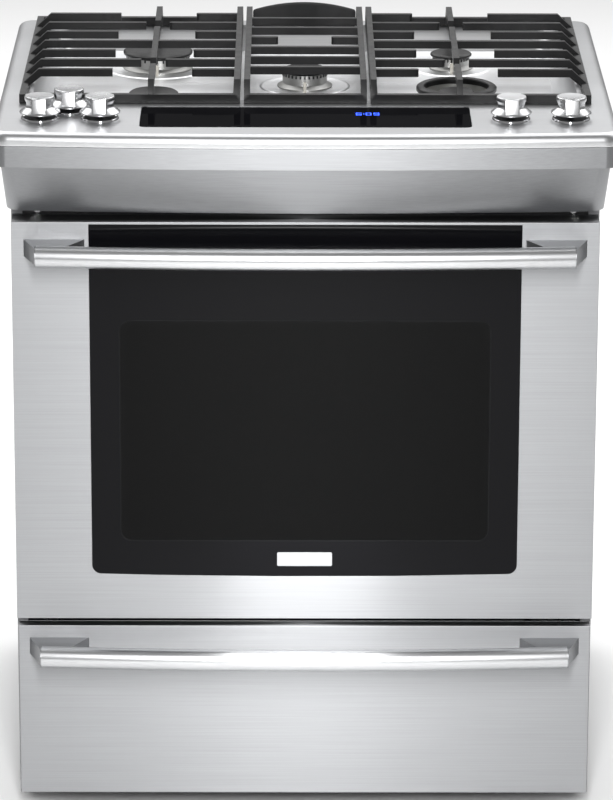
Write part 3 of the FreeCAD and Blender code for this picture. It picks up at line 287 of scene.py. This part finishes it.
def window_glass(name, base, low, high, corner):
    """Black glass with a clear, smoked window between two (x, z) corners."""
    made, shader = new_material(name, base, 0.05, IOR=1.2)
    place = add_node(made, "ShaderNodeTexCoord")
    split = add_node(made, "ShaderNodeSeparateXYZ")
    link(made, place.outputs["Object"], split.inputs["Vector"])

    def math_node(operation, first, second, third=None):
        item = add_node(made, "ShaderNodeMath", operation=operation)
        for slot, value in enumerate((first, second, third)):
            if value is None:
                continue
            if isinstance(value, float):
                item.inputs[slot].default_value = value
            else:
                link(made, value, item.inputs[slot])
        return item.outputs["Value"]

    beyond = []
    for axis, index in (("X", 0), ("Z", 1)):
        middle = (low[index] + high[index]) / 2
        half = (high[index] - low[index]) / 2 - corner
        offset = math_node("SUBTRACT", split.outputs[axis], middle)
        reach = math_node("SUBTRACT", math_node("ABSOLUTE", offset, None), half)
        beyond.append(math_node("MAXIMUM", reach, 0.0))
    squares = [math_node("MULTIPLY", value, value) for value in beyond]
    away = math_node("SQRT", math_node("ADD", *squares), None)
    clear = add_node(made, "ShaderNodeMapRange", From_Min=corner - 0.0012,
                     From_Max=corner + 0.0012, To_Min=1.0, To_Max=0.0)
    link(made, away, clear.inputs["Value"])
    link(made, clear.outputs["Result"], shader.inputs["Transmission Weight"])
    shade = add_node(made, "ShaderNodeMix", data_type="RGBA")
    shade.inputs[6].default_value = (*base, 1.0)
    shade.inputs[7].default_value = (0.022, 0.023, 0.024, 1.0)
    link(made, clear.outputs["Result"], shade.inputs[0])
    link(made, shade.outputs[2], shader.inputs["Base Color"])
    add_bump(made, shader, stretched_noise(made, (14.0, 14.0, 14.0), 1.0), 0.02, 0.0008)
    return made


def braided(name, base):
    """Coarse woven glass fibre."""
    made, shader = new_material(name, base, 0.85)
    weave = stretched_noise(made, (240.0, 240.0, 240.0), 1.0)
    tint(made, shader, base, weave, 0.5)
    add_bump(made, shader, weave, 0.8, 0.001)
    return made


def lit(name, base, power):
    made, shader = new_material(name, base, 0.4)
    shader.inputs["Emission Color"].default_value = (*base, 1.0)
    shader.inputs["Emission Strength"].default_value = power
    return made


MAKERS = {
    "brushed_panel": lambda: brushed("brushed_panel", finishes().steel, 0.5, spread=0.75),
    # The apron's separate tone is painted light on the panels' steel.
    "brushed_apron": lambda: brushed("brushed_apron", finishes().apron, 0.5, spread=0.75),
    # The deck's bright tone and the ledge's darker one are painted light and painted shade on one
    # steel.
    "brushed_deck": lambda: brushed("brushed_deck", finishes().deck, 0.34),
    "brushed_top": lambda: two_tone_painted_light_shade("brushed_top", finishes().ledge, finishes().deck,
                                     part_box("control_glass")[1].z - 0.002, 0.34),
    "satin_bar": lambda: brushed("satin_bar", finishes().satin, 0.30,
                                 grain=(30.0, 900.0, 900.0)),
    "satin_knob": lambda: plain("satin_knob", finishes().satin, 0.27, 1.0, grain=700.0),
    "dark_bracket": lambda: brushed("dark_bracket", (0.36, 0.365, 0.375), 0.36),
    "polished": lambda: plain("polished", (0.7, 0.7, 0.71), 0.08, 1.0),
    "matt_iron": lambda: cast("matt_iron", finishes().iron, 0.40),
    "smooth_iron": lambda: cast("smooth_iron", finishes().iron, 0.34, 1800.0, 0.15),
    "burner_alloy": lambda: plain("burner_alloy", finishes().alloy, 0.42, 1.0, 900.0, 0.1, 0.3),
    "black_glass": lambda: glass_black("black_glass", finishes().black),
    "pane_glass": lambda: new_material("pane_glass", (0.55, 0.58, 0.58), 0.03,
                                       Transmission_Weight=1.0)[0],
    "black_enamel": lambda: plain("black_enamel", (0.012, 0.012, 0.013), 0.3),
    "oven_enamel": lambda: speckled("oven_enamel", (0.02, 0.024, 0.032), (0.2, 0.22, 0.26)),
    "side_paint": lambda: plain("side_paint", (0.30, 0.305, 0.315), 0.42, 0.0, 900.0, 0.05, 0.25),
    "zinc": lambda: plain("zinc", (0.42, 0.43, 0.44), 0.4, 1.0, 60.0, 0.06),
    "chrome_wire": lambda: plain("chrome_wire", (0.62, 0.62, 0.62), 0.16, 1.0),
    "ceramic": lambda: plain("ceramic", (0.72, 0.69, 0.62), 0.35),
    "black_plastic": lambda: plain("black_plastic", (0.02, 0.02, 0.021), 0.5, 0.0, 1200.0),
    "wool": lambda: braided("wool", (0.55, 0.5, 0.3)),
    "gasket_braid": lambda: braided("gasket_braid", (0.05, 0.05, 0.05)),
    "lamp_glass": lambda: plain("lamp_glass", (0.7, 0.68, 0.6), 0.35, 0.0, 80.0),
    "clock_light": lambda: lit("clock_light", finishes().digits, 1.6),
    "window_glass": lambda: window_glass("window_glass", finishes().black,
                                         *window_corners(), 0.014),
}


def material(name):
    """The named finish, made on first use. The frame has plain materials of its own."""
    finish = f"{name}_finish"
    if finish not in bpy.data.materials:
        MAKERS[name]().name = finish
    return bpy.data.materials[finish]


def window_corners():
    """The clear part of the door's glass as two (x, z) corners, from the panes behind it."""
    low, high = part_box("door_panes")
    inset = 0.014
    return (low.x + inset, low.z + inset), (high.x - inset, high.z - inset)


def finish_node(node, name):
    """Give a CAD node its finish."""
    item = frame["nodes"][node]
    item.data.materials.clear()
    item.data.materials.append(material(name))


# ---------------------------------------------------------------- modelling helpers


def start_edit(item, mode="FACE"):
    """Open one piece in edit mode with nothing selected."""
    bpy.ops.object.select_all(action="DESELECT")
    bpy.context.view_layer.objects.active = item
    item.select_set(True)
    bpy.ops.object.mode_set(mode="EDIT")
    bpy.ops.mesh.select_mode(type=mode)
    bpy.ops.mesh.select_all(action="DESELECT")


def end_edit():
    bpy.ops.object.mode_set(mode="OBJECT")
    bpy.ops.object.select_all(action="DESELECT")


def pick(item, kind, wanted):
    """Select the faces, edges or vertices that pass a test, in edit mode."""
    shape = bmesh.from_edit_mesh(item.data)
    for element in getattr(shape, kind):
        if wanted(element):
            element.select_set(True)
    bmesh.update_edit_mesh(item.data)


def box_piece(low, high):
    """A cuboid between two corners, as a start."""
    low, high = Vector(low), Vector(high)
    bpy.ops.mesh.primitive_cube_add(size=1.0, location=(low + high) / 2)
    item = bpy.context.object
    item.scale = high - low
    bpy.ops.object.transform_apply(location=True, rotation=True, scale=True)
    return item


def turned_piece(centre, profile, segments=64):
    """A shape turned on a lathe: each (radius, height) is one more ring from the first."""
    radius, height = profile[0]
    centre = Vector(centre)
    lift = Vector((0, 0, 1))
    bpy.ops.mesh.primitive_circle_add(vertices=segments, radius=radius, fill_type="NGON",
                                      location=centre + lift * height)
    item = bpy.context.object
    bpy.ops.object.mode_set(mode="EDIT")
    bpy.ops.mesh.select_mode(type="FACE")
    bpy.ops.mesh.select_all(action="SELECT")
    for next_radius, next_height in profile[1:]:
        rise = next_height - height
        bpy.ops.mesh.extrude_region_move(TRANSFORM_OT_translate={"value": (0, 0, rise)})
        scale = next_radius / radius
        bpy.ops.transform.resize(value=(scale, scale, 1.0),
                                 center_override=centre + lift * next_height)
        radius, height = next_radius, next_height
    bpy.ops.mesh.select_all(action="SELECT")
    bpy.ops.mesh.normals_make_consistent(inside=False)
    end_edit()
    item.select_set(True)
    bpy.context.view_layer.objects.active = item
    bpy.ops.object.transform_apply(location=True, rotation=True, scale=True)
    return item


def apply_modifier(item, kind, **values):
    modifier = item.modifiers.new(kind.lower(), kind)
    for name, value in values.items():
        setattr(modifier, name, value)
    bpy.ops.object.select_all(action="DESELECT")
    item.select_set(True)
    bpy.context.view_layer.objects.active = item
    bpy.ops.object.modifier_apply(modifier=modifier.name)


def round_edges(item, width, segments=3, angle=35.0):
    apply_modifier(item, "BEVEL", width=width, segments=segments, limit_method="ANGLE",
                   angle_limit=math.radians(angle), use_clamp_overlap=True,
                   miter_outer="MITER_ARC")


def carve(item, cutter):
    """Cut one shape out of another and drop the cutter."""
    apply_modifier(item, "BOOLEAN", operation="DIFFERENCE", object=cutter, solver="EXACT")
    bpy.data.objects.remove(cutter)


def join(items):
    bpy.ops.object.select_all(action="DESELECT")
    for item in items:
        item.select_set(True)
    bpy.context.view_layer.objects.active = items[0]
    bpy.ops.object.join()
    return items[0]


def complete(item, name, finish, body, replaced=(), smooth=40.0):
    """Name a piece, finish it and hang it on its body."""
    item.name = name
    item.data.name = name
    item.data.materials.clear()
    item.data.materials.append(material(finish))
    bpy.ops.object.select_all(action="DESELECT")
    item.select_set(True)
    bpy.context.view_layer.objects.active = item
    bpy.ops.object.transform_apply(location=True, rotation=True, scale=True)
    bpy.ops.object.shade_smooth_by_angle(angle=math.radians(smooth))
    item.select_set(False)
    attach(item, body)
    if replaced:
        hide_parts(*replaced)
    return item


def softened_copy(node, width, segments=2, angle=35.0, merge_flats=True):
    """A merged copy of a CAD node with its sharp edges rounded."""
    bpy.ops.object.select_all(action="DESELECT")
    source = frame["nodes"][node]
    item = source.copy()
    item.data = source.data.copy()
    bpy.context.scene.collection.objects.link(item)
    item.parent = None
    for key in list(item.keys()):
        del item[key]
    start_edit(item, "VERT")
    bpy.ops.mesh.select_all(action="SELECT")
    bpy.ops.mesh.remove_doubles(threshold=0.00002)
    if merge_flats:
        bpy.ops.mesh.dissolve_limited(angle_limit=math.radians(0.6))
    bpy.ops.mesh.customdata_custom_splitnormals_clear()
    end_edit()
    round_edges(item, width, segments, angle)
    return item


def body_name(node):
    for body, members in frame["record"]["behaviour"]["bodies"].items():
        if node in members:
            return body
    raise ValueError(f"no body for {node}")


def soften(node, finish, width, segments=2, angle=35.0, merge_flats=True):
    """Replace a CAD node with its softened copy, its flat faces shaded flat."""
    item = softened_copy(node, width, segments, angle, merge_flats)
    complete(item, f"{node}_finished", finish, body_name(node), (node,))
    apply_modifier(item, "WEIGHTED_NORMAL", weight=60, keep_sharp=True)
    item.select_set(False)
    return item


def islands(node):
    """The separate solids of a CAD node, as lists of points."""
    shape = bmesh.new()
    shape.from_mesh(frame["nodes"][node].data)
    bmesh.ops.remove_doubles(shape, verts=shape.verts, dist=0.00002)
    left = set(shape.verts)
    found = []
    while left:
        queue = [left.pop()]
        points = []
        while queue:
            vertex = queue.pop()
            points.append(vertex.co.copy())
            for edge in vertex.link_edges:
                other = edge.other_vert(vertex)
                if other in left:
                    left.remove(other)
                    queue.append(other)
        found.append(points)
    shape.free()
    return found


def middle_and_reach(points):
    """The middle of a round solid in plan, and its radius."""
    xs = [point.x for point in points]
    ys = [point.y for point in points]
    return (min(xs) + max(xs)) / 2, (min(ys) + max(ys)) / 2, (max(xs) - min(xs)) / 2


class Step(bpy.types.Operator):
    """Common base of the range's operators."""

    bl_options = {"REGISTER", "UNDO"}


# ---------------------------------------------------------------- stage


class RANGE_OT_stage(Step):
    """Set up the floor, the lights and the camera"""

    bl_idname = "range.stage"
    bl_label = "Stage"

    # name: place, target, size, power. floor_light lights the floor that the steel mirrors.
    LIGHTS = {
        "key_light": ((0.0, -3.2, 2.2), (0, 0, 0.5), (0.35, 2.0), 72.0),
        "floor_light": ((0.0, -1.8, 0.40), (0, -1.8, 0.0), (0.2, 3.0), 7.5),
        "top_light": ((0.0, 2.2, 2.7), (0, 2.2, 0.0), (6.0, 4.6), 190.0),
    }
    WORLD_STRENGTH = 0.25

    def execute(self, context):
        scene = context.scene
        scene.view_settings.view_transform = "Standard"
        floor_half = 14.0
        bpy.ops.mesh.primitive_plane_add(size=floor_half * 2, location=(0, 0, 0))
        floor = context.object
        floor.name = "studio_floor"
        pale, _ = new_material("studio_pale", (0.92, 0.92, 0.92), 0.9)
        floor.data.materials.append(pale)
        world = bpy.data.worlds.new("studio_world")
        world.use_nodes = True
        background = world.node_tree.nodes["Background"]
        background.inputs["Color"].default_value = (1, 1, 1, 1)
        background.inputs["Strength"].default_value = self.WORLD_STRENGTH
        scene.world = world
        for name, light in self.LIGHTS.items():
            self.area(name, *light)
        self.camera(context)
        return {"FINISHED"}

    def area(self, name, place, target, size, power):
        bpy.ops.object.light_add(type="AREA", location=place)
        light = bpy.context.object
        light.name = name
        light.data.shape = "RECTANGLE"
        light.data.size, light.data.size_y = size
        light.data.energy = power
        aim = Vector(target) - Vector(place)
        light.rotation_euler = aim.to_track_quat("-Z", "Y").to_euler()
        light.select_set(False)

    def camera(self, context):
        view = studio()
        raised = math.cos(view.elevation)
        away = Vector((-math.sin(view.turn) * raised, -math.cos(view.turn) * raised,
                       math.sin(view.elevation)))
        target = Vector((0.0032, 0.0, view.target))
        bpy.ops.object.camera_add(location=target + away * view.distance)
        camera = context.object
        camera.name = "studio_camera"
        camera.data.lens = view.lens
        camera.data.sensor_width = 36.0
        turn = (-away).to_track_quat("-Z", "Y").to_matrix().to_4x4()
        camera.rotation_euler = (turn @ Matrix.Rotation(view.roll, 4, "Z")).to_euler()
        camera.data.clip_end = 60.0
        context.scene.camera = camera
        camera.select_set(False)


# ---------------------------------------------------------------- steel panels


class RANGE_OT_panels(Step):
    """Round and brush the stainless panels, the apron in its own tone of the same steel, painted
    light where it faces down into shade
    """

    bl_idname = "range.panels"
    bl_label = "Steel panels"

    def execute(self, context):
        edge = sizes().steel_edge
        # The cooktop's ledge and deck are painted in two tones of one steel: painted shade and
        # painted light.
        finish_node("cooktop_sheet", "brushed_top")
        soften("front_trim_band", "brushed_panel", edge)
        soften("front_apron", "brushed_apron", edge)
        soften("door_skin", "brushed_panel", edge)
        soften("drawer_front", "brushed_panel", edge)
        return {"FINISHED"}


class RANGE_OT_handles(Step):
    """Finish the two bowed handles and their ends"""

    bl_idname = "range.handles"
    bl_label = "Handles"

    def execute(self, context):
        for name in ("door_handle", "drawer_handle"):
            finish_node(name, "satin_bar")
            soften(f"{name}_ends", "dark_bracket", 0.0022, 3)
        return {"FINISHED"}


# ---------------------------------------------------------------- controls


class RANGE_OT_knobs(Step):
    """Turn the knobs with their grips, shafts and rings"""

    bl_idname = "range.knobs"
    bl_label = "Knobs"

    SHAFT_HOLE = 0.0058
    HUB = 0.0062

    def execute(self, context):
        for name in KNOBS:
            self.knob(name)
            # The shafts are black, painted shade for the dark gap under each knob.
            finish_node(f"valve_stem_{name}", "black_enamel")
        dishes, painted_shadow_discs = [], []
        for points in islands("knob_bezels"):
            x, y, reach = middle_and_reach(points)
            centre = (x, y, min(point.z for point in points))
            dishes.append(self.dish(centre, reach))
            painted_shadow_discs.append(self.well(centre, reach))
        complete(join(dishes), "bezel_dishes", "polished", "root",
                 ("knob_bezels",))
        # A black disc in each ring stands in for the knob's shadow: painted shadow.
        complete(join(painted_shadow_discs), "bezel_wells", "black_plastic", "root")
        return {"FINISHED"}

    def dish(self, centre, reach):
        """A polished ring with a raised lip round a knob's shaft."""
        return self.holed(centre, [(reach, 0.0), (reach, 0.0010), (reach - 0.0010, 0.0023),
                                   (reach - 0.0024, 0.0026), (reach - 0.0042, 0.0016),
                                   (self.HUB, 0.0014)])

    def well(self, centre, reach):
        """A black disc inside a ring's lip: painted shadow under the knob."""
        return self.holed(centre, [(reach - 0.0040, 0.0012), (reach - 0.0040, 0.0019),
                                   (self.HUB, 0.0019)])

    def holed(self, centre, profile):
        """A turned piece with a hole for the knob's shaft."""
        item = turned_piece(centre, profile, 64)
        carve(item, turned_piece(centre, [(self.SHAFT_HOLE, -0.002), (self.SHAFT_HOLE, 0.004)],
                                 32))
        return item

    def knob(self, name):
        low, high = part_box(f"knob_{name}")
        centre = Vector(((low.x + high.x) / 2, (low.y + high.y) / 2, low.z))
        tall = high.z - low.z
        skirt = (high.x - low.x) / 2
        head = skirt * 0.735
        profile = [(skirt * 0.93, 0.0), (skirt, 0.0006), (skirt, 0.0016), (skirt * 0.98, 0.0024),
                   (head * 0.98, 0.0075), (head * 0.93, 0.0086), (head * 0.90, 0.0100),
                   (head * 0.90, 0.0125), (head * 0.92, 0.0145), (head * 0.98, 0.0165),
                   (head, 0.0180), (head, tall - 0.0012), (head * 0.98, tall - 0.0004),
                   (head * 0.95, tall), (head * 0.5, tall - 0.0002), (0.0012, tall - 0.0003)]
        barrel = turned_piece(centre, profile, 72)
        half = head * 0.5
        foot = centre.y - skirt * 0.93
        plate = box_piece((centre.x - half, foot, low.z + 0.0022),
                          (centre.x + half, centre.y - head * 0.45, high.z - 0.0004))
        start_edit(plate, "VERT")
        pick(plate, "verts", lambda v: v.co.y < foot + 0.001 and v.co.z > high.z - 0.002)
        bpy.ops.transform.translate(value=(0, centre.y - head * 1.02 - foot, 0))
        end_edit()
        round_edges(plate, 0.0016, 4)
        item = join([barrel, plate])
        complete(item, f"knob_{name}_turned", "satin_knob", f"knob_{name}",
                 (f"knob_{name}",), 30.0)


class RANGE_OT_control_panel(Step):
    """Finish the touch panel and light its clock"""

    bl_idname = "range.control_panel"
    bl_label = "Control panel"

    SEGMENTS = {"0": "abcdef", "6": "acdefg", "9": "abcdfg"}

    def execute(self, context):
        finish_node("control_glass", "black_glass")
        finish_node("display_board", "black_plastic")
        low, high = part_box("control_glass")
        tall = sizes().digit_tall
        wide = tall * 0.55
        stroke = tall * 0.12
        x = sizes().digits_left
        y = low.y + (high.y - low.y) * 0.60
        level = high.z + 0.0001
        bars = []
        for place, digit in enumerate("609"):
            left = x + place * wide * 1.35 + (wide * 0.35 if place else 0)
            for segment in self.SEGMENTS[digit]:
                bars.append(self.bar(segment, left, y, wide, tall, stroke, level))
        middle = x + wide * 1.27
        for part in (0.3, 0.7):
            dot = y + tall * part
            bars.append(box_piece((middle, dot, level), (middle + stroke, dot + stroke,
                                                         level + 0.0002)))
        item = join(bars)
        complete(item, "clock_digits", "clock_light", "root")
        return {"FINISHED"}

    def bar(self, segment, x, y, wide, tall, stroke, level):
        half = tall / 2
        flat = {"a": tall - stroke, "g": half - stroke / 2, "d": 0.0}
        if segment in flat:
            low = (x, y + flat[segment])
            high = (x + wide, low[1] + stroke)
        else:
            left = x if segment in "ef" else x + wide - stroke
            base = y if segment in "ce" else y + half
            low, high = (left, base), (left + stroke, base + half)
        return box_piece((*low, level), (*high, level + 0.0002))


# ---------------------------------------------------------------- burners


class RANGE_OT_burners(Step):
    """Finish the burners and add their pressed rings and, for their flame ports, black blocks of
    painted shade
    """

    bl_idname = "range.burners"
    bl_label = "Burners"

    def execute(self, context):
        finish_node("burner_heads", "burner_alloy")
        soften("burner_caps", "smooth_iron", 0.0008)
        finish_node("igniters", "ceramic")
        deck = min(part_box("igniters")[0].z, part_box("burner_caps")[0].z)
        rings, ports = [], []
        for points in islands("burner_heads"):
            x, y, base = middle_and_reach(points)
            centre = Vector((x, y, 0.0))
            top = max(point.z for point in points)
            rim = max((point - centre).xy.length for point in points if point.z > top - 0.0005)
            rings.append(self.ring(centre, deck, base))
            ports.append(self.ports(centre, rim, top))
        # The pressed rings take the deck's bright tone, which is painted light.
        complete(join(rings), "burner_rings", "brushed_deck", "root")
        # The black port blocks are painted shade where the ports' openings fall dark.
        complete(join(ports), "burner_ports", "black_enamel", "root")
        return {"FINISHED"}

    def ring(self, centre, deck, base):
        """The pressed ring that a burner stands in."""
        tall = sizes().emboss
        reach = base + sizes().emboss_out
        profile = [(reach, 0.0), (reach - 0.0015, tall), (reach - 0.005, tall),
                   (reach - 0.0075, tall * 0.3), (base, tall * 0.3)]
        return turned_piece((centre.x, centre.y, deck), profile, 96)

    def ports(self, centre, rim, top):
        """A circle of black blocks just under a burner's cap: painted shade for the flame ports'
        openings.
        """
        wide, deep, tall = 0.0011, 0.0009, 0.0042
        slot = box_piece((centre.x - wide, centre.y - rim - deep, top - tall),
                         (centre.x + wide, centre.y - rim + 0.004, top - 0.0004))
        start_edit(slot)
        bpy.ops.mesh.select_all(action="SELECT")
        bpy.ops.mesh.spin(steps=sizes().ports, dupli=True, angle=math.tau, center=centre,
                          axis=(0.0, 0.0, 1.0))
        end_edit()
        return slot


# ---------------------------------------------------------------- pan supports


class RANGE_OT_pan_supports(Step):
    """Round the cast pan supports and the vent hood"""

    bl_idname = "range.pan_supports"
    bl_label = "Pan supports"

    def execute(self, context):
        for node in ("grate_left", "grate_centre", "grate_right", "oven_vent_hood"):
            soften(node, "matt_iron", sizes().iron_edge, 3, merge_flats=False)
        return {"FINISHED"}


# ---------------------------------------------------------------- door


class RANGE_OT_door(Step):
    """Glaze the door and fit the blank badge"""

    bl_idname = "range.door"
    bl_label = "Door"

    def execute(self, context):
        finish_node("door_glass", "window_glass")
        finish_node("door_panes", "pane_glass")
        finish_node("door_liner", "oven_enamel")
        finish_node("hinge_arms", "zinc")
        finish_node("hinge_brackets", "zinc")
        soften("badge_plate", "brushed_panel", 0.0004)
        return {"FINISHED"}


class RANGE_OT_inside(Step):
    """Finish the oven, the drawer and the chassis"""

    bl_idname = "range.inside"
    bl_label = "Oven, drawer and chassis"

    FINISHES = {
        "side_paint": ("side_panel_left", "side_panel_right"),
        "zinc": ("rear_panel", "base_pan", "drawer_ceiling", "slide_channels", "drawer_rails",
                 "convection_fan", "fan_motor", "pressure_regulator", "burner_valves"),
        "black_enamel": ("front_frame", "drawer_box"),
        "oven_enamel": ("oven_liner",),
        "chrome_wire": ("oven_rack_lower", "oven_rack_upper", "rack_supports", "screws"),
        "wool": ("insulation_wrap",),
        "gasket_braid": ("oven_gasket",),
        "burner_alloy": ("gas_manifold", "bake_burner", "broil_burner"),
        "lamp_glass": ("oven_lamp",),
        "black_plastic": ("levelling_feet",),
    }

    def execute(self, context):
        for name, nodes in self.FINISHES.items():
            for node in nodes:
                finish_node(node, name)
        return {"FINISHED"}


OPERATORS = (RANGE_OT_stage, RANGE_OT_panels, RANGE_OT_handles, RANGE_OT_knobs,
             RANGE_OT_control_panel, RANGE_OT_burners, RANGE_OT_pan_supports, RANGE_OT_door,
             RANGE_OT_inside)


class RANGE_PT_panel(bpy.types.Panel):
    """Shows the range's settings and steps in the sidebar"""

    bl_idname = "RANGE_PT_panel"
    bl_label = "Gas range"
    bl_space_type = "VIEW_3D"
    bl_region_type = "UI"
    bl_category = "Range"

    def draw(self, context):
        for group in (context.scene.range_finishes, context.scene.range_sizes,
                      context.scene.range_studio):
            box = self.layout.box()
            for name in group.__annotations__:
                box.prop(group, name)
        for operator in OPERATORS:
            self.layout.operator(operator.bl_idname)


CLASSES = (RANGE_PG_finishes, RANGE_PG_sizes, RANGE_PG_studio, *OPERATORS, RANGE_PT_panel)


def register():
    for item in CLASSES:
        bpy.utils.register_class(item)
    bpy.types.Scene.range_finishes = PointerProperty(type=RANGE_PG_finishes)
    bpy.types.Scene.range_sizes = PointerProperty(type=RANGE_PG_sizes)
    bpy.types.Scene.range_studio = PointerProperty(type=RANGE_PG_studio)


def unregister():
    del bpy.types.Scene.range_studio
    del bpy.types.Scene.range_sizes
    del bpy.types.Scene.range_finishes
    for item in reversed(CLASSES):
        bpy.utils.unregister_class(item)


def main():
    register()
    for operator in OPERATORS:
        group, name = operator.bl_idname.split(".")
        getattr(getattr(bpy.ops, group), name)()


if __name__ == "__main__":
    main()
